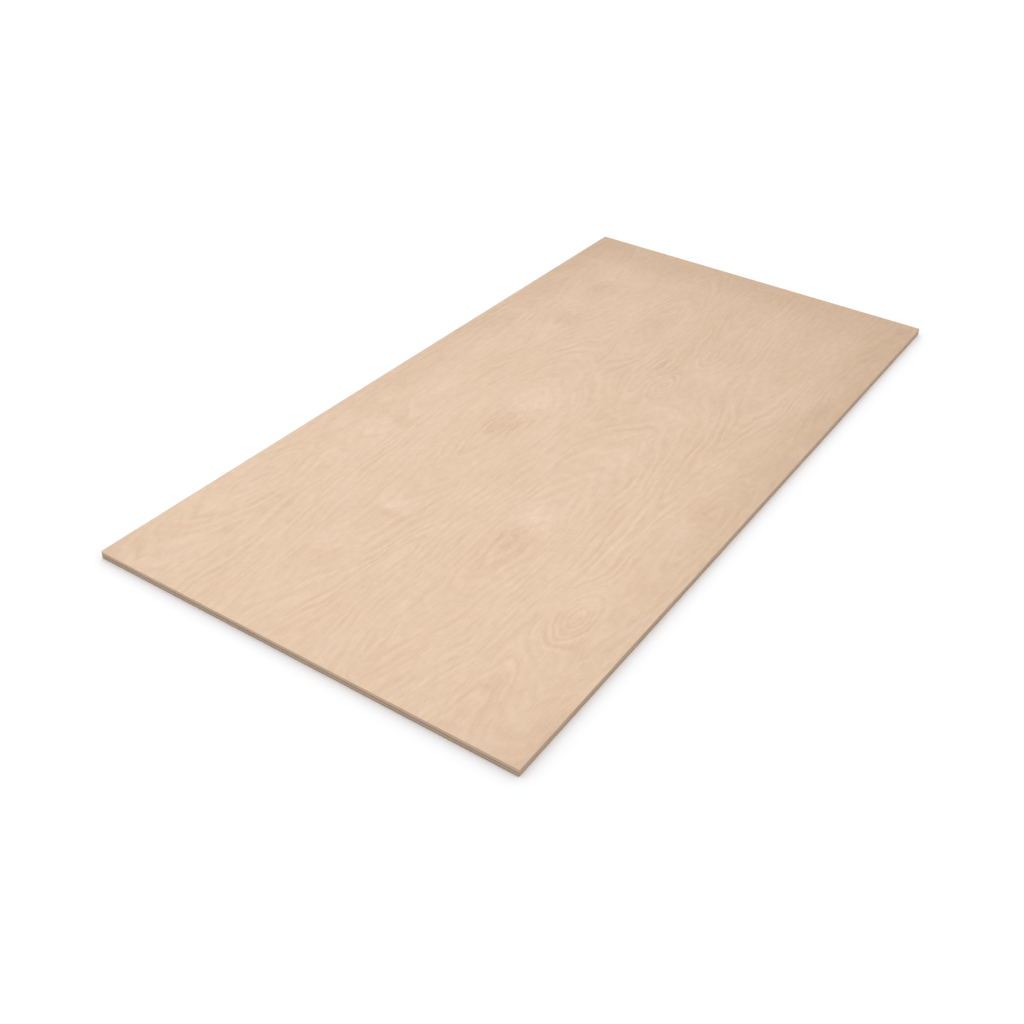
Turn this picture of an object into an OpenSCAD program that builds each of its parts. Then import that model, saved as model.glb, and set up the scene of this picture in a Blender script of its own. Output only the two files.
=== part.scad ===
// Plywood sheet.
// Five plies lie face to face, and the grain of each one crosses the grain of its neighbours.
// The origin is the centre of the underside. +Y runs along the sheet and +Z is up.

/* [Sheet] */
// Length of the sheet, along the grain of its two outer plies
sheet_length = 2440; // [600:10:3660]
// Width of the sheet, across the grain of its two outer plies
sheet_width = 1220; // [300:10:1830]

/* [Plies] */
// Thickness of the face ply, and of the back ply that balances it
face_thickness = 3.6; // [0.6:0.1:8]
// Thickness of each crossband, the plies whose grain runs across the sheet
crossband_thickness = 4.6; // [0.6:0.1:8]
// Thickness of the core ply in the middle of the sheet
core_thickness = 4.6; // [0.6:0.1:8]

/* [Hidden] */

// Height of the underside of each ply above the floor, from the bottom up
back_z = 0;
lower_crossband_z = back_z + face_thickness;
core_z = lower_crossband_z + crossband_thickness;
upper_crossband_z = core_z + core_thickness;
face_z = upper_crossband_z + crossband_thickness;

// Colours of the wood: its flat-cut face, and the sawn edges of plies that run along or across
face_colour = "#D8BDA1";
long_ply_colour = "#B29678";
cross_ply_colour = "#C4A987";

// One ply: a flat layer of the sheet's full length and width, lying at the given height
module ply(height, thickness) {
    translate([-sheet_width / 2, -sheet_length / 2, height])
        cube([sheet_width, sheet_length, thickness]);
}

module back_ply() {
    color(face_colour)
        ply(back_z, face_thickness);
}

module lower_crossband() {
    color(cross_ply_colour)
        ply(lower_crossband_z, crossband_thickness);
}

module core_ply() {
    color(long_ply_colour)
        ply(core_z, core_thickness);
}

module upper_crossband() {
    color(cross_ply_colour)
        ply(upper_crossband_z, crossband_thickness);
}

module face_ply() {
    color(face_colour)
        ply(face_z, face_thickness);
}

back_ply();
lower_crossband();
core_ply();
upper_crossband();
face_ply();
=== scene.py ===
"""Looks of the plywood sheet: five sawn plies with worn edges, and wood materials for faces and edges.

Everything is in metres, in the CAD frame: +X across the sheet, +Y along it, +Z up, origin under its centre.
"""

import math

import bpy
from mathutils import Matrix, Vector, noise


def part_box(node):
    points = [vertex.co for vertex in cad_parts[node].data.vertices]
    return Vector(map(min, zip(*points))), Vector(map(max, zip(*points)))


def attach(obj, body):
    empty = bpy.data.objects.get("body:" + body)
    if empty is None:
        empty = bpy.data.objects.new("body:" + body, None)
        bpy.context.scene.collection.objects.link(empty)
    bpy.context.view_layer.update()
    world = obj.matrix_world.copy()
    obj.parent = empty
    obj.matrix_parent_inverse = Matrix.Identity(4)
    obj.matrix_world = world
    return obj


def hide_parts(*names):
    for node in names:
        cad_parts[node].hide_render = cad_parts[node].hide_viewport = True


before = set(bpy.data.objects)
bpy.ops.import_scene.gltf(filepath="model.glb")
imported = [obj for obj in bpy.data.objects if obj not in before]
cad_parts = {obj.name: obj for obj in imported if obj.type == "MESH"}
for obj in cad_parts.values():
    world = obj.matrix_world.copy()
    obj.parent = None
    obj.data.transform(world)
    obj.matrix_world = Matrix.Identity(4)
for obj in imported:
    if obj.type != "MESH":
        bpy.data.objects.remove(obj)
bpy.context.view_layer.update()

MM = 0.001

# ---------------------------------------------------------------- sizes of the worn and sawn detail

CORNER_RADIUS = 3.0 * MM  # the four corners are slightly blunted
CORNER_STEPS = 6
OUTLINE_STEP = 3.0 * MM  # spacing of points along the sawn edges
ARRIS_RADIUS = 0.7 * MM  # softened edge between a face and the sawn edges
ARRIS_STEPS = 4
GLUE_GROOVE = 0.30 * MM  # how far the glue line lies behind the wood beside it
GROOVE_HEIGHT = 0.25 * MM
FACE_GRID = 20.0 * MM  # spacing of points over a face
FACE_MARGIN = 12.0 * MM  # strip between the outline and the first row of that grid
FACE_HOLLOW = 0.10 * MM  # how far a face dips between its high spots
HOLLOW_LENGTH = 0.35  # distance between those dips
SAW_WANDER_LENGTH = 0.30  # slow wander of the saw cut along an edge
SAW_TOOTH_LENGTH = 0.011  # quick unevenness of the saw cut
RIM_STRIP = 0.4 * MM  # narrow strip round each flat face that keeps its shading flat
HALF_STRAIGHT = 0.5 * MM  # half the height of the straight part in the middle of a ply's edge
SHARP_ANGLE = 35  # degrees between two faces, above which the edge between them stays sharp

# How the sawn edge of each ply lies: mean set-back, slow wander and quick roughness.
PLY_CUT = {
    "face_ply": (0.03 * MM, 0.05 * MM, 0.05 * MM),
    "upper_crossband": (0.12 * MM, 0.08 * MM, 0.08 * MM),
    "core_ply": (0.06 * MM, 0.08 * MM, 0.07 * MM),
    "lower_crossband": (0.14 * MM, 0.08 * MM, 0.08 * MM),
    "back_ply": (0.05 * MM, 0.06 * MM, 0.06 * MM),
}
PLY_SEED = {"face_ply": 3, "upper_crossband": 11, "core_ply": 23, "lower_crossband": 37, "back_ply": 51}
CROSS_PLIES = ("upper_crossband", "lower_crossband")
# How pale each ply's sawn edge is beside the others, at the ends of the sheet and along its sides.
PLY_PALENESS = {
    "face_ply": (1.52, 1.20),
    "upper_crossband": (1.18, 1.22),
    "core_ply": (0.98, 1.04),
    "lower_crossband": (1.02, 1.05),
    "back_ply": (1.05, 1.00),
}

# ---------------------------------------------------------------- wood

# The figure is a count of growth rings, highest on the crests that the knife cut through. Each crest
# has its (along, across) place, the distance from one ring to the next (before it, after it, across), and its
# height.
FACE_CRESTS = (
    ((-0.09, -0.160), (0.130, 0.060, 0.0175), 0.0),
    ((-0.55, 0.172), (0.110, 0.078, 0.0185), 0.0),
    ((0.60, -0.105), (0.063, 0.080, 0.0175), -4.5),
    ((-1.01, 0.160), (0.080, 0.045, 0.0150), -1.8),
    ((-0.90, -0.200), (0.110, 0.080, 0.0165), -4.5),
    ((0.35, 0.098), (0.032, 0.036, 0.0140), -7.5),
    ((0.62, 0.140), (0.050, 0.070, 0.0170), -7.0),
    ((1.02, 0.110), (0.090, 0.090, 0.0180), -6.0),
    ((-0.745, 0.460), (0.028, 0.030, 0.0125), -5.0),
    ((-0.31, 0.530), (0.120, 0.100, 0.0175), -5.0),
    ((0.60, 0.585), (0.150, 0.150, 0.0180), -6.0),
    ((-0.72, -0.527), (0.060, 0.046, 0.0150), -8.5),
    ((-0.32, -0.435), (0.070, 0.055, 0.0160), -11.0),
    ((0.10, -0.530), (0.170, 0.170, 0.0180), -9.0),
    ((0.525, -0.377), (0.060, 0.050, 0.0160), -12.0),
    ((0.83, -0.400), (0.055, 0.070, 0.0160), -12.0),
)
BACK_CRESTS = (
    ((0.62, 0.20), (0.100, 0.070, 0.0190), 0.0),
    ((-0.35, -0.22), (0.080, 0.090, 0.0180), 0.0),
    ((-0.85, 0.40), (0.040, 0.045, 0.0140), -4.0),
    ((0.20, 0.50), (0.090, 0.080, 0.0170), -5.0),
    ((0.90, -0.40), (0.060, 0.060, 0.0165), -2.0),
    ((-0.95, -0.10), (0.060, 0.050, 0.0160), -6.0),
    ((-0.25, 0.18), (0.070, 0.060, 0.0170), -8.0),
    ((0.25, -0.50), (0.110, 0.120, 0.0175), -7.0),
)

# Painted sheen: where the fibres dip into the sheet at a crest the colour is painted darker, and paler where
# they rise out beyond, as the light catches them.
# Each has its (along, across) place, its (length, width) and how strong it is.
FACE_PAINTED_SHEEN = (
    ((-0.055, -0.160), (0.105, 0.058), 0.95),
    ((-0.520, 0.172), (0.085, 0.055), 0.95),
    ((-0.725, 0.460), (0.065, 0.040), 0.55),
    ((-0.325, -0.435), (0.050, 0.055), -0.65),
    ((0.500, -0.375), (0.065, 0.045), -0.6),
    ((0.865, -0.400), (0.070, 0.035), 0.9),
    ((-0.250, 0.500), (0.080, 0.030), -0.65),
    ((0.400, 0.090), (0.060, 0.040), -0.5),
    ((0.560, 0.550), (0.110, 0.022), 0.8),
    ((-0.660, -0.160), (0.035, 0.060), 0.5),
    ((0.780, -0.100), (0.090, 0.040), 0.4),
    ((-0.890, -0.200), (0.060, 0.030), 0.5),
)
BACK_PAINTED_SHEEN = (
    ((0.66, 0.20), (0.090, 0.045), 1.0),
    ((-0.30, -0.22), (0.090, 0.045), 1.0),
    ((-0.83, 0.40), (0.060, 0.036), 0.9),
    ((0.24, 0.48), (0.070, 0.035), 0.8),
    ((0.94, -0.40), (0.080, 0.040), -0.9),
)

# Where the ring lines show most clearly: the (along, across) place and (length, width) of each patch.
FACE_SHOWN = (
    ((-0.14, 0.170), (0.270, 0.130)),
    ((-0.90, -0.040), (0.280, 0.060)),
    ((-0.86, -0.380), (0.280, 0.080)),
    ((-0.76, 0.450), (0.160, 0.080)),
    ((0.05, 0.370), (0.400, 0.050)),
    ((0.48, 0.040), (0.220, 0.070)),
)
BACK_SHOWN = (
    ((0.30, 0.20), (0.250, 0.120)),
    ((-0.70, -0.22), (0.220, 0.100)),
    ((-0.10, -0.45), (0.300, 0.070)),
)


class Shader:
    """Adds nodes to one material and wires them up as they are made."""

    def __init__(self, name):
        self.material = bpy.data.materials.new(name)
        self.material.use_nodes = True
        self.tree = self.material.node_tree
        self.surface = self.tree.nodes["Principled BSDF"]

    def feed(self, socket, value):
        """Links a node's output to the socket, or sets the number or colour on it."""
        if isinstance(value, bpy.types.NodeSocket):
            self.tree.links.new(value, socket)
        else:
            socket.default_value = value

    def math(self, operation, first, second=None, third=None):
        node = self.tree.nodes.new("ShaderNodeMath")
        node.operation = operation
        for socket, value in zip(node.inputs, (first, second, third)):
            if value is not None:
                self.feed(socket, value)
        return node.outputs[0]

    def add(self, first, *others):
        for other in others:
            first = self.math("ADD", first, other)
        return first

    def times(self, first, *others):
        for other in others:
            first = self.math("MULTIPLY", first, other)
        return first

    def place(self):
        """The x, y and z of the point, in the sheet's own frame."""
        coordinates = self.tree.nodes.new("ShaderNodeTexCoord")
        split = self.tree.nodes.new("ShaderNodeSeparateXYZ")
        self.feed(split.inputs[0], coordinates.outputs["Object"])
        return split.outputs

    def vector(self, x, y, z):
        node = self.tree.nodes.new("ShaderNodeCombineXYZ")
        for socket, value in zip(node.inputs, (x, y, z)):
            self.feed(socket, value)
        return node.outputs[0]

    def noise(self, vector, detail=2.0, roughness=0.5):
        """Soft noise about 0, from roughly -1 to 1."""
        node = self.tree.nodes.new("ShaderNodeTexNoise")
        self.feed(node.inputs["Vector"], vector)
        node.inputs["Scale"].default_value = 1.0
        node.inputs["Detail"].default_value = detail
        node.inputs["Roughness"].default_value = roughness
        return self.math("MULTIPLY_ADD", node.outputs[0], 2.0, -1.0)

    def grain_noise(self, along, across, length, width, seed, **settings):
        """Noise with features of the given length along the grain and width across it."""
        place = self.vector(self.times(across, 1 / width), self.times(along, 1 / length), seed)
        return self.noise(place, **settings)

    def span(self, value, low, high, to_low=0.0, to_high=1.0, smooth=True):
        """Maps low to high of value onto to_low to to_high, held at the ends."""
        node = self.tree.nodes.new("ShaderNodeMapRange")
        node.interpolation_type = "SMOOTHSTEP" if smooth else "LINEAR"
        for socket, number in zip(node.inputs, (value, low, high, to_low, to_high)):
            self.feed(socket, number)
        return node.outputs[0]

    def mix(self, share, first, second, blend="MIX"):
        node = self.tree.nodes.new("ShaderNodeMix")
        node.data_type = "RGBA"
        node.blend_type = blend
        sockets = [s for s in node.inputs if s.type == "RGBA"]
        self.feed(node.inputs[0], share)
        for socket, value in zip(sockets, (first, second)):
            self.feed(socket, (*value, 1.0) if isinstance(value, tuple) else value)
        return [s for s in node.outputs if s.type == "RGBA"][0]

    def tint(self, colour, share, multiplier):
        """Multiplies the colour by the multiplier, as far as share says."""
        return self.mix(share, colour, multiplier, "MULTIPLY")

    def bump(self, height, distance, strength):
        node = self.tree.nodes.new("ShaderNodeBump")
        node.inputs["Strength"].default_value = strength
        node.inputs["Distance"].default_value = distance
        self.feed(node.inputs["Height"], height)
        return node.outputs[0]

    def finish(self, colour, roughness, normal):
        self.feed(self.surface.inputs["Base Color"], colour)
        self.feed(self.surface.inputs["Roughness"], roughness)
        self.feed(self.surface.inputs["Normal"], normal)
        return self.material


POINTEDNESS = 1.75  # 2 would make the rings about a crest ellipses, 1 would make them diamonds

# What a colour is multiplied by where its tone is darkest, where it is warmest, and in painted shade. The
# dark and warm tints also carry the painted sheen of the crests; the painted shade is where the light falls
# off towards the far right corner and round the rim.
FACE_DARK_TINT = (0.755, 0.695, 0.635)
FACE_WARMTH_AND_SHEEN_TINT = (0.95, 0.90, 0.83)
FACE_PAINTED_SHADE_TINT = (0.760, 0.712, 0.652)
EDGE_DARK_TINT = (0.66, 0.60, 0.54)
GLUE_TINT = (0.42, 0.36, 0.32)
GLUE_REACH = (0.35 * MM, 0.95 * MM)  # how far the full glue colour, and the last of it, goes into a ply


def growth_rings(s, along, across, crests, seed):
    """How many rings lie between each point and the crests of the figure, with their natural wander."""
    sway = s.grain_noise(along, across, 0.70, 0.30, seed + 0.5, detail=1.0)
    waver = s.grain_noise(along, across, 0.13, 0.10, seed + 15.5, detail=2.0)
    quiver = s.grain_noise(along, across, 0.045, 0.022, seed + 1.0, detail=3.0, roughness=0.6)
    across = s.add(across, s.times(sway, 0.020), s.times(waver, 0.010), s.times(quiver, 0.0045))
    rings = None
    for (crest_along, crest_across), (before, after, width), height in crests:
        ahead = s.math("MULTIPLY_ADD", along, 1 / after, -crest_along / after)
        behind = s.math("MULTIPLY_ADD", along, -1 / before, crest_along / before)
        from_along = s.math("MAXIMUM", ahead, behind)
        from_across = s.math("MULTIPLY_ADD", across, 1 / width, -crest_across / width)
        bent = s.math("POWER", s.math("ABSOLUTE", from_across), POINTEDNESS)
        bent_both = s.add(s.math("POWER", from_along, POINTEDNESS), bent, 0.3)
        distance = s.math("POWER", bent_both, 1 / POINTEDNESS)
        below = s.math("SUBTRACT", height, distance)
        rings = below if rings is None else s.math("SMOOTH_MAX", rings, below, 3.0)
    wander = s.grain_noise(along, across, 0.55, 0.11, seed + 7.5, detail=2.0)
    return s.add(rings, s.times(wander, 2.2), s.times(quiver, 0.2))


def hill(s, along, across, place, size):
    """1 at the place, falling smoothly to 0 beyond its size; also how far along it each point is."""
    from_along = s.math("MULTIPLY_ADD", along, 1 / size[0], -place[0] / size[0])
    from_across = s.math("MULTIPLY_ADD", across, 1 / size[1], -place[1] / size[1])
    squared = s.math("MULTIPLY_ADD", from_along, from_along, s.times(from_across, from_across))
    return s.math("EXPONENT", s.times(squared, -1.0)), from_along


def painted_fibre_sheen(s, along, across, sheen_spots, seed):
    """The painted sheen about the crests, below 0 where the fibres dip into the sheet and above 0 where they
    rise out of it, and how near each point is to the core of a crest, from 0 to 1."""
    rays = s.grain_noise(along, across, 0.030, 0.012, seed + 11.0, detail=3.0, roughness=0.6)
    bend = s.grain_noise(along, across, 0.09, 0.05, seed + 12.0, detail=2.0)
    along = s.math("MULTIPLY_ADD", bend, 0.035, along)
    across = s.math("MULTIPLY_ADD", rays, 0.008, across)
    sheen = 0.0
    nearness = 0.0
    for place, size, strength in sheen_spots:
        height, from_along = hill(s, along, across, place, size)
        sheen = s.math("MULTIPLY_ADD", s.times(height, from_along), strength, sheen)
        nearness = s.math("MAXIMUM", nearness, s.times(height, abs(strength)))
    return s.times(sheen, s.math("MULTIPLY_ADD", rays, 0.9, 1.0)), nearness


def face_material(name, colour, crests, sheen_spots, shown, seed):
    """Rotary-cut veneer: broken growth-ring lines that follow the figure, fibre streaks and fine flecks, with
    painted sheen about the crests and painted shade towards the far right corner and round the rim.
    """
    s = Shader(name)
    across, along, _height = s.place()
    rings = growth_rings(s, along, across, crests, seed)
    sheen, nearness = painted_fibre_sheen(s, along, across, sheen_spots, seed)

    # Each ring darkens towards its late wood and ends there. The lines are broken and come and go over the
    # sheet, some rings are stronger, and all are lost in the sheen of the crests.
    phase = s.math("FRACT", rings)
    late_wood = s.times(s.span(phase, 0.30, 0.78), s.span(phase, 0.80, 1.0, 1.0, 0.0))
    strength = s.noise(s.vector(s.times(rings, 0.7), s.times(along, 3.2), seed + 2.0), detail=3.0)
    presence = s.grain_noise(along, across, 0.28, 0.12, seed + 3.0, detail=3.0)
    for place, size in shown:
        presence = s.math("MULTIPLY_ADD", hill(s, along, across, place, size)[0], 0.6, presence)
    clear = s.times(s.span(nearness, 0.15, 0.75, 1.0, 0.2), s.span(presence, -0.25, 0.60, 0.25, 1.15))
    late_wood = s.times(late_wood, s.span(strength, -0.35, 0.45, 0.0, 1.0), clear)
    waves = s.math("COSINE", s.times(rings, 2 * math.pi))
    bands = s.times(waves, s.span(strength, -0.6, 0.4, 0.3, 1.0), clear)

    # Streaks of fibre that follow the rings, then single fibres, cross-grain curl and short flecks.
    beside_rings = s.vector(s.times(rings, 2.2), s.times(along, 7.0), seed + 4.0)
    streaks = s.noise(beside_rings, detail=3.0, roughness=0.55)
    follow = s.math("MULTIPLY_ADD", rings, 0.010, across)
    fibres = s.grain_noise(along, follow, 0.110, 0.0040, seed + 5.0, detail=3.0, roughness=0.6)
    curl = s.grain_noise(along, across, 0.030, 0.018, seed + 9.0, detail=3.0, roughness=0.65)
    curl = s.times(curl, s.math("MULTIPLY_ADD", nearness, 0.8, 1.0))
    flecks = s.grain_noise(along, across, 0.0060, 0.0035, seed + 6.0, detail=2.0, roughness=0.6)

    # Broad, soft changes of tone, and painted shade: the colour is darkened round the rim and towards the far
    # right corner, where the light falls off.
    clouds = s.grain_noise(along, across, 0.30, 0.14, seed + 8.0, detail=4.0, roughness=0.6)
    painted_side_rim_shade = s.span(s.math("ABSOLUTE", across), 0.40, 0.61)
    painted_end_rim_shade = s.span(s.math("ABSOLUTE", along), 0.95, 1.22)
    painted_shade_and_clouds = s.add(s.times(along, 0.58), s.times(across, 0.28), s.times(s.add(painted_side_rim_shade, painted_end_rim_shade), 0.48))

    # The tone: ring lines, streaks, fibres, flecks and curl, with the painted sheen of the crests darkening
    # the dips.
    tone = s.add(
        s.times(late_wood, 0.48),
        s.times(bands, 0.27),
        s.times(streaks, 0.80),
        s.times(fibres, 0.50),
        s.times(flecks, 0.45),
        s.times(curl, 0.68),
        s.times(sheen, -0.75),
        s.times(s.math("MINIMUM", sheen, 0.0), -0.45),
    )
    shaded = s.tint(colour_node(s, colour), s.span(tone, -1.0, 1.2, smooth=False), FACE_DARK_TINT)
    # Warmer in the cloud tone and on the dark side of the painted sheen, greyer on its bright side.
    warmth_and_sheen = s.add(s.times(clouds, 0.8), s.times(sheen, -0.9))
    shaded = s.tint(shaded, s.span(warmth_and_sheen, -0.9, 0.9, smooth=False), FACE_WARMTH_AND_SHEEN_TINT)
    # Painted shade of the light falling off towards the far right corner and round the rim, with the cloud
    # tone mixed in.
    painted_shade_and_clouds = s.math("MULTIPLY_ADD", clouds, 0.20, painted_shade_and_clouds)
    shaded = s.tint(shaded, s.span(painted_shade_and_clouds, -0.41, 1.53), FACE_PAINTED_SHADE_TINT)

    roughness = s.add(0.56, s.times(late_wood, 0.05), s.times(fibres, 0.04))
    relief = s.add(s.times(fibres, 0.5), s.times(late_wood, -0.35), s.times(flecks, -0.4))
    normal = s.bump(relief, 0.06 * MM, 0.6)
    return s.finish(shaded, roughness, normal)


def colour_node(s, colour):
    """A colour as a socket, so that tints can be laid over it."""
    node = s.tree.nodes.new("ShaderNodeRGB")
    node.outputs[0].default_value = (*colour, 1.0)
    return node.outputs[0]


def edge_material(name, colour, end_grain, low, high, glue_below, glue_above, seed):
    """The sawn edge of one ply between two heights: fibres cut across or along, and its glue lines."""
    s = Shader(name)
    x, y, z = s.place()
    run = s.add(x, y)  # one of the two stays the same along each straight edge

    blotch = s.noise(s.vector(s.times(run, 9.0), s.times(z, 60.0), seed), detail=4.0, roughness=0.6)
    if end_grain:
        pores = s.noise(s.vector(s.times(run, 2200.0), s.times(z, 2200.0), seed + 1.0), detail=2.0)
        slant = s.math("MULTIPLY_ADD", z, 0.5, run)
        checks = s.noise(s.vector(s.times(slant, 520.0), s.times(z, 130.0), seed + 2.0), detail=2.0)
        cracks = s.span(checks, 0.35, 0.7)
        layers = s.noise(s.vector(s.times(run, 30.0), s.times(z, 1500.0), seed + 3.0), detail=2.0)
        tone = s.add(s.times(pores, 0.9), s.times(cracks, 1.0), s.times(layers, 0.9), s.times(blotch, 1.1))
        relief = s.add(s.times(pores, -0.5), s.times(cracks, -1.0), s.times(layers, -0.3))
    else:
        fibres = s.noise(s.vector(s.times(run, 14.0), s.times(z, 1300.0), seed + 1.0), detail=3.0)
        threads = s.noise(s.vector(s.times(run, 120.0), s.times(z, 3500.0), seed + 2.0), detail=2.0)
        cracks = s.span(fibres, 0.40, 0.75)
        tone = s.add(s.times(fibres, 1.1), s.times(threads, 0.8), s.times(cracks, 0.6), s.times(blotch, 1.0))
        relief = s.add(s.times(fibres, -0.4), s.times(threads, -0.4), s.times(cracks, -0.6))

    saw_marks = s.noise(s.vector(s.times(run, 330.0), s.times(z, 9.0), 5.0), detail=1.0)
    tone = s.add(tone, s.times(saw_marks, 0.5))
    relief = s.add(relief, s.times(saw_marks, 0.8))

    shaded = s.tint(colour_node(s, colour), s.span(tone, -0.9, 1.3, smooth=False), EDGE_DARK_TINT)
    glue = glue_lines(s, z, low, high, glue_below, glue_above)
    shaded = s.tint(shaded, glue, GLUE_TINT)
    roughness = s.add(0.74, s.times(tone, 0.05))
    return s.finish(shaded, roughness, s.bump(relief, 0.15 * MM, 0.7))


def glue_lines(s, z, low, high, glue_below, glue_above):
    """1 on the glue line at either side of the ply, falling to 0 a little way into the wood."""
    full, last = GLUE_REACH
    glue = 0.0
    if glue_below:
        glue = s.span(z, low + full, low + last, 1.0, 0.0)
    if glue_above:
        glue = s.math("MAXIMUM", glue, s.span(z, high - last, high - full))
    return glue


# ---------------------------------------------------------------- meshes


def outline(low, high):
    """Points round the sheet seen from above, anticlockwise: each is its place and its outward direction."""
    points = []
    corners = ((high.x, high.y, 0), (low.x, high.y, 90), (low.x, low.y, 180), (high.x, low.y, 270))
    for number, (x, y, start) in enumerate(corners):
        to_middle = Vector((-math.copysign(CORNER_RADIUS, x), -math.copysign(CORNER_RADIUS, y)))
        centre = Vector((x, y)) + to_middle
        for step in range(CORNER_STEPS + 1):
            angle = math.radians(start + 90 * step / CORNER_STEPS)
            outward = Vector((math.cos(angle), math.sin(angle)))
            points.append((centre + outward * CORNER_RADIUS, outward))
        next_x, next_y, _ = corners[(number + 1) % 4]
        begin = points[-1][0]
        length = abs(next_x - x) + abs(next_y - y) - 2 * CORNER_RADIUS
        along = Vector((-outward.y, outward.x))
        count = round(length / OUTLINE_STEP)
        points += [(begin + along * length * step / count, outward) for step in range(1, count)]
    return points


def uneven(point, length, seed):
    """Smooth noise from -1 to 1 that changes over the given length."""
    return noise.noise(Vector((point.x / length, point.y / length, seed)))


def arris_rows(face_z, into_ply):
    """The rounded corner at a flat face, from the sawn edge up or down to it."""
    rows = []
    for step in range(ARRIS_STEPS + 1):
        angle = math.radians(90 * step / ARRIS_STEPS)
        height = face_z + into_ply * ARRIS_RADIUS * (1 - math.sin(angle))
        rows.append((height, ARRIS_RADIUS * (1 - math.cos(angle))))
    return rows


def groove_rows(glue_z, into_ply):
    """Half of the groove at a glue line, from the glue line to the sawn edge."""
    return [
        (glue_z, GLUE_GROOVE),
        (glue_z + into_ply * GROOVE_HEIGHT, 0.3 * GLUE_GROOVE),
        (glue_z + into_ply * 2 * GROOVE_HEIGHT, 0.0),
    ]


def edge_rows(low_z, high_z, top_arris, bottom_arris):
    """Heights of the rows of points up a ply's sawn edge, each with how far it is set in."""
    rows = arris_rows(low_z, 1)[::-1] if bottom_arris else groove_rows(low_z, 1)
    middle = (low_z + high_z) / 2
    rows += [(middle - HALF_STRAIGHT, 0.0), (middle + HALF_STRAIGHT, 0.0)]
    rows += arris_rows(high_z, -1) if top_arris else groove_rows(high_z, -1)[::-1]
    return rows


class Solid:
    """Collects the points and faces of one mesh."""

    def __init__(self):
        self.points = []
        self.faces = []
        self.kinds = []

    def ring(self, places):
        first = len(self.points)
        self.points += places
        return list(range(first, first + len(places)))

    def face(self, corners, kind):
        self.faces.append(corners)
        self.kinds.append(kind)

    def join(self, lower, upper, kind_of):
        """A band of quads between two rings of equal count."""
        for i in range(len(lower)):
            j = (i + 1) % len(lower)
            self.face((lower[i], lower[j], upper[j], upper[i]), kind_of(i))

    def stitch(self, outer, inner, kind, upward):
        """Triangles between two rings of unequal count that run the same way round from the same corner."""
        i = j = 0
        while i < len(outer) or j < len(inner):
            outer_next, inner_next = outer[(i + 1) % len(outer)], inner[(j + 1) % len(inner)]
            o, n = outer[i % len(outer)], inner[j % len(inner)]
            to_outer = (self.points[outer_next] - self.points[n]).length if i < len(outer) else math.inf
            to_inner = (self.points[inner_next] - self.points[o]).length if j < len(inner) else math.inf
            if to_outer <= to_inner:
                triangle, i = (o, outer_next, n), i + 1
            else:
                triangle, j = (o, inner_next, n), j + 1
            self.face(triangle if upward else triangle[::-1], kind)

    def cap(self, rim, low, high, z, dip, kind, upward):
        """A face inside the rim: a square grid with a stitched strip round it."""
        columns = grid_lines(low.x + FACE_MARGIN, high.x - FACE_MARGIN)
        rows = grid_lines(low.y + FACE_MARGIN, high.y - FACE_MARGIN)
        first = len(self.points)
        for y in rows:
            for x in columns:
                self.points.append(Vector((x, y, z - dip(x, y) if upward else z + dip(x, y))))
        wide, tall = len(columns), len(rows)
        for row in range(tall - 1):
            for column in range(wide - 1):
                a = first + row * wide + column
                quad = (a, a + 1, a + 1 + wide, a + wide)
                self.face(quad if upward else quad[::-1], kind)
        east = [first + row * wide + wide - 1 for row in range(tall)]
        north = [first + (tall - 1) * wide + column for column in range(wide - 1, -1, -1)]
        west = [first + row * wide for row in range(tall - 1, -1, -1)]
        south = [first + column for column in range(wide)]
        inner = north[:-1] + west[:-1] + south[:-1] + east[:-1]
        self.stitch(rim, inner, kind, upward)

    def build(self, name, materials):
        mesh = bpy.data.meshes.new(name)
        mesh.from_pydata([tuple(p) for p in self.points], [], self.faces)
        for material in materials:
            mesh.materials.append(material)
        mesh.polygons.foreach_set("material_index", self.kinds)
        mesh.validate()
        mesh.shade_smooth()
        mesh.set_sharp_from_angle(angle=math.radians(SHARP_ANGLE))
        piece = bpy.data.objects.new(name, mesh)
        bpy.context.scene.collection.objects.link(piece)
        return piece


def grid_lines(low, high):
    count = round((high - low) / FACE_GRID)
    return [low + (high - low) * i / count for i in range(count + 1)]


FACE, ENDS, SIDES = 0, 1, 2  # material slots of a ply: its flat face, its sawn ends and its sawn sides


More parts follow.
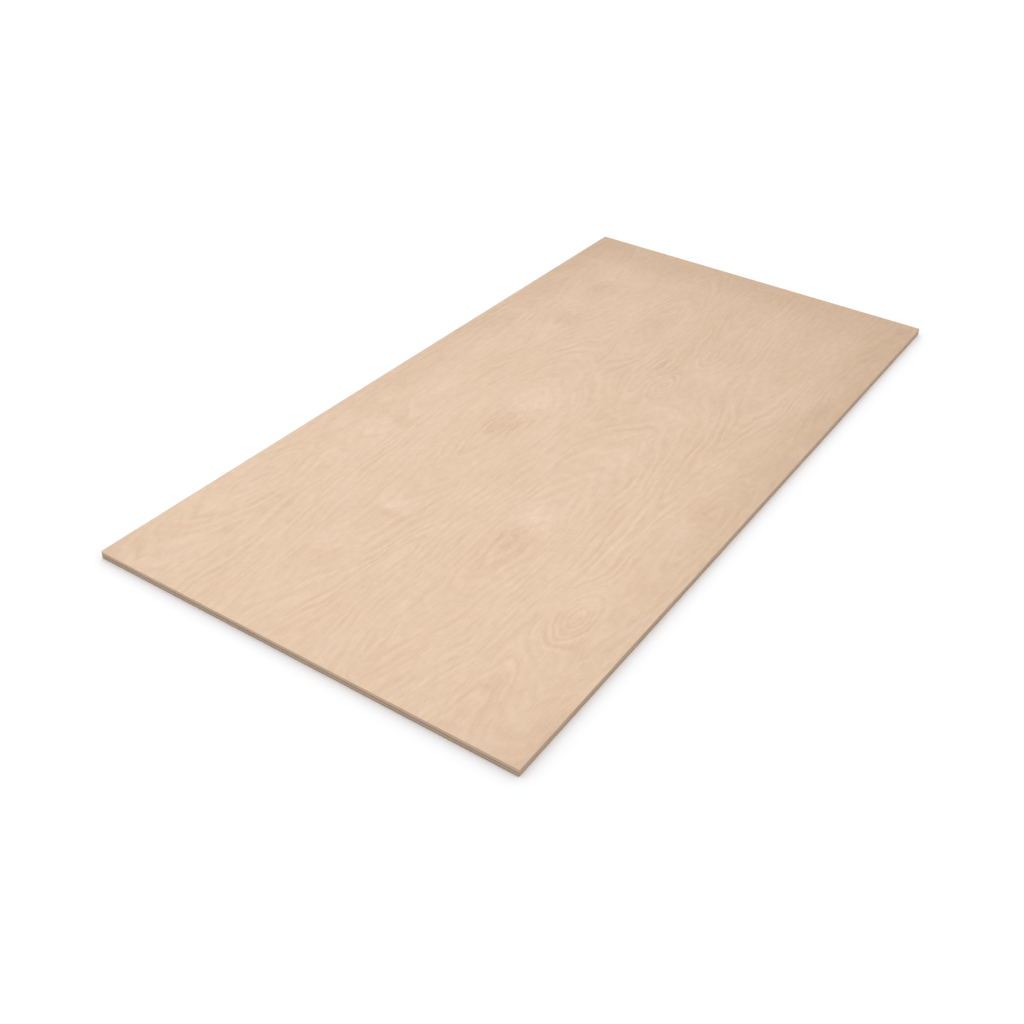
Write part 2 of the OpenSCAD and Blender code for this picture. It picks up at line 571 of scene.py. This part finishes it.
def ply(node, materials):
    """One ply in place of its CAD node: its sawn edges waver a little, with a groove at each glue line."""
    low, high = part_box(node)
    seed = PLY_SEED[node]
    setback, wander, roughness = PLY_CUT[node]
    top_arris, bottom_arris = node == "face_ply", node == "back_ply"
    solid = Solid()
    around = outline(low, high)

    def cut(point, row):
        slow = uneven(point, SAW_WANDER_LENGTH, seed)
        quick = uneven(point, SAW_TOOTH_LENGTH, seed + 0.37 * row)
        return max(0.0, setback + wander * slow + roughness * quick)

    rows = edge_rows(low.z, high.z, top_arris, bottom_arris)
    rings = []
    for number, (z, inset) in enumerate(rows):
        places = []
        for point, outward in around:
            place = point - outward * (inset + cut(point, number))
            places.append(Vector((place.x, place.y, z)))
        rings.append(solid.ring(places))

    outward_of = [outward for _, outward in around]

    def kind_of(i):
        return SIDES if abs(outward_of[i].x) > abs(outward_of[i].y) else ENDS

    for number in range(len(rings) - 1):
        on_top_arris = top_arris and number >= len(rings) - 1 - ARRIS_STEPS
        on_bottom_arris = bottom_arris and number < ARRIS_STEPS
        on_arris = on_top_arris or on_bottom_arris
        solid.join(rings[number], rings[number + 1], (lambda i: FACE) if on_arris else kind_of)

    def dip(x, y):
        return FACE_HOLLOW * (0.5 + 0.5 * noise.noise(Vector((x / HOLLOW_LENGTH, y / HOLLOW_LENGTH, seed))))

    def level(x, y):
        return 0.0

    top = (rings[-1], high.z, True, top_arris)
    bottom = (rings[0], low.z, False, bottom_arris)
    for rim, z, upward, outer in (top, bottom):
        support = []
        for index, outward in zip(rim, outward_of):
            support.append(solid.points[index] - Vector((*outward, 0.0)) * RIM_STRIP)
        inner_rim = solid.ring(support)
        if upward:
            solid.join(rim, inner_rim, lambda i: FACE)
        else:
            solid.join(inner_rim, rim, lambda i: FACE)
        solid.cap(inner_rim, low, high, z, dip if outer else level, FACE, upward)

    piece = solid.build(node + "_wood", materials)
    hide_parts(node)
    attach(piece, "root")
    return piece


# ---------------------------------------------------------------- the sheet

FACE_COLOUR = (0.762, 0.584, 0.438)
BACK_COLOUR = (0.660, 0.500, 0.370)
END_GRAIN_COLOUR = (0.505, 0.375, 0.265)
LONG_GRAIN_COLOUR = (0.640, 0.490, 0.360)


def edge_materials(node):
    """The two sawn-edge materials of a ply: at the sheet's ends, and along its sides."""
    low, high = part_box(node)
    crosses = node in CROSS_PLIES
    glue_below = node != "back_ply"
    glue_above = node != "face_ply"
    seed = float(PLY_SEED[node])
    shows_end_grain = (not crosses, crosses)
    found = []
    for where, end_grain, paleness in zip(("ends", "sides"), shows_end_grain, PLY_PALENESS[node]):
        wood = END_GRAIN_COLOUR if end_grain else LONG_GRAIN_COLOUR
        colour = tuple(channel * paleness for channel in wood)
        name = f"{node}_{where}_{'end' if end_grain else 'long'}_grain"
        material = edge_material(name, colour, end_grain, low.z, high.z, glue_below, glue_above, seed)
        found.append(material)
    return found


def build_sheet():
    face = face_material("face_veneer", FACE_COLOUR, FACE_CRESTS, FACE_PAINTED_SHEEN, FACE_SHOWN, 1.0)
    back = face_material("back_veneer", BACK_COLOUR, BACK_CRESTS, BACK_PAINTED_SHEEN, BACK_SHOWN, 61.0)
    slots = {
        "face_ply": ("face_veneer", face),
        "upper_crossband": ("cross_ply", back),
        "core_ply": ("long_ply", back),
        "lower_crossband": ("cross_ply", back),
        "back_ply": ("back_veneer", back),
    }
    for node, (slot, flat) in slots.items():
        piece = ply(node, [flat] + edge_materials(node))


# ---------------------------------------------------------------- floor, light and camera

FLOOR_SIZE = 80.0
FLOOR_DROP = 0.3 * MM  # keeps the floor clear of the underside
FLOOR_COLOUR = (0.872, 0.877, 0.886)
BACKDROP = (1.05, 1.05, 1.05)
FILL_LIGHT = 0.618
FILL_COLOUR = (0.985, 1.0, 1.015)
SUN_COLOUR = (1.0, 0.99, 0.975)

# Fitted to the photo's four corners with no sideways shift: the back corner lies about 8 pixels off.
CAMERA_PLACE = (1.516, -2.745, 1.916)
CAMERA_TURN = (54.59, -2.28, 33.64)
CAMERA_LENS = 44.4


def add_floor():
    half = FLOOR_SIZE / 2
    mesh = bpy.data.meshes.new("floor")
    corners = [(-half, -half), (half, -half), (half, half), (-half, half)]
    mesh.from_pydata([(x, y, -FLOOR_DROP) for x, y in corners], [], [(0, 1, 2, 3)])
    s = Shader("floor_paper")
    s.surface.inputs["Base Color"].default_value = (*FLOOR_COLOUR, 1.0)
    s.surface.inputs["Roughness"].default_value = 0.9
    s.surface.inputs["Specular IOR Level"].default_value = 0.1
    mesh.materials.append(s.material)
    floor = bpy.data.objects.new("floor", mesh)
    bpy.context.scene.collection.objects.link(floor)


def add_world():
    """Even white all round: dimmer as a light than it is as a backdrop."""
    world = bpy.data.worlds.new("studio")
    bpy.context.scene.world = world
    world.use_nodes = True
    nodes, links = world.node_tree.nodes, world.node_tree.links
    backdrop = nodes["Background"]
    backdrop.inputs["Color"].default_value = (*BACKDROP, 1.0)
    fill = nodes.new("ShaderNodeBackground")
    fill.inputs["Color"].default_value = (*FILL_COLOUR, 1.0)
    fill.inputs["Strength"].default_value = FILL_LIGHT
    seen = nodes.new("ShaderNodeLightPath")
    choose = nodes.new("ShaderNodeMixShader")
    links.new(seen.outputs["Is Camera Ray"], choose.inputs[0])
    links.new(fill.outputs[0], choose.inputs[1])
    links.new(backdrop.outputs[0], choose.inputs[2])
    links.new(choose.outputs[0], nodes["World Output"].inputs["Surface"])


def add_lamp(name, kind, place, aim, energy, **settings):
    data = bpy.data.lights.new(name, kind)
    data.energy = energy
    for key, value in settings.items():
        setattr(data, key, value)
    lamp = bpy.data.objects.new(name, data)
    bpy.context.scene.collection.objects.link(lamp)
    lamp.location = place
    lamp.rotation_euler = (Vector(aim) - Vector(place)).to_track_quat("-Z", "Y").to_euler()


def add_lights():
    wide = math.radians(130)
    add_lamp("sky_panel", "SUN", (-1.0, 1.2, 3.6), (0.0, 0.0, 0.0), 1.86, color=SUN_COLOUR, angle=wide)
    add_lamp("near_softbox", "AREA", (-0.75, -0.75, 2.5), (-0.5, -0.6, 0.0), 2.0, shape="SQUARE", size=2.0)


def add_camera():
    data = bpy.data.cameras.new("camera")
    data.lens = CAMERA_LENS
    data.sensor_width = 36.0
    camera = bpy.data.objects.new("camera", data)
    bpy.context.scene.collection.objects.link(camera)
    camera.location = CAMERA_PLACE
    camera.rotation_euler = [math.radians(angle) for angle in CAMERA_TURN]
    bpy.context.scene.camera = camera


build_sheet()
add_floor()
add_world()
add_lights()
add_camera()
bpy.context.scene.view_settings.view_transform = "Standard"
